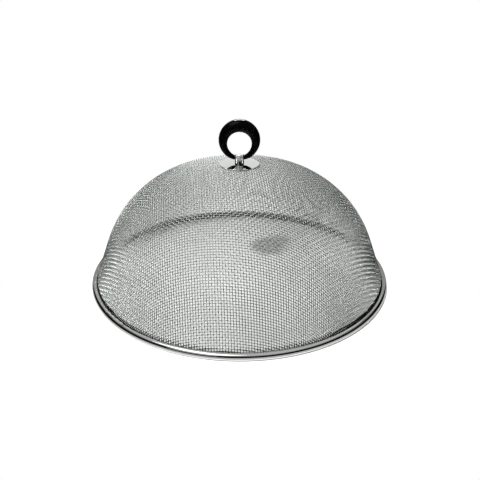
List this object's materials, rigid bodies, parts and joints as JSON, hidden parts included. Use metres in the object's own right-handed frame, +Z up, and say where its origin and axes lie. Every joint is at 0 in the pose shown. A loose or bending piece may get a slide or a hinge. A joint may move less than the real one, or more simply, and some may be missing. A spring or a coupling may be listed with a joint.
{
  "type": "buffet food cover dome",
  "caption": "Woven wire food cover dome with a rolled steel rim and a black ring handle that swings on a post and round plate; set over a dish to keep insects off food",
  "frame": {"origin": "centre of the flat ring on which the rim stands", "axes": "+Z up along the dome's axis, -Y towards the camera, the ring handle stands in the X-Z plane at rest and swings about X"},
  "size_m": [0.3, 0.3, 0.1594],
  "materials": {
    "wire_cloth": "satin",
    "rim_steel": "polished",
    "hoop_steel": "satin",
    "plate_steel": "polished",
    "post_chrome": "polished",
    "ring_black": "gloss",
    "backing_steel": "satin",
    "fastener_steel": "satin"
  },
  "bodies": {
    "cover": {"mesh_dome": "wire_cloth", "rim_bead": "rim_steel", "rim_core": "hoop_steel", "cap_plate": "plate_steel", "post_collar": "post_chrome", "handle_post": "post_chrome", "backing_plate": "backing_steel", "lock_washer": "fastener_steel", "fixing_nut": "fastener_steel"},
    "ring": {"ring_handle": "ring_black"}
  },
  "joints": [
    {"name": "ring_swing", "type": "hinge", "parent": "cover", "child": "ring", "pos_m": [0, 0, 0.1238], "axis": [1, 0, 0], "range_deg": [-93.8, 93.8]}
  ]
}
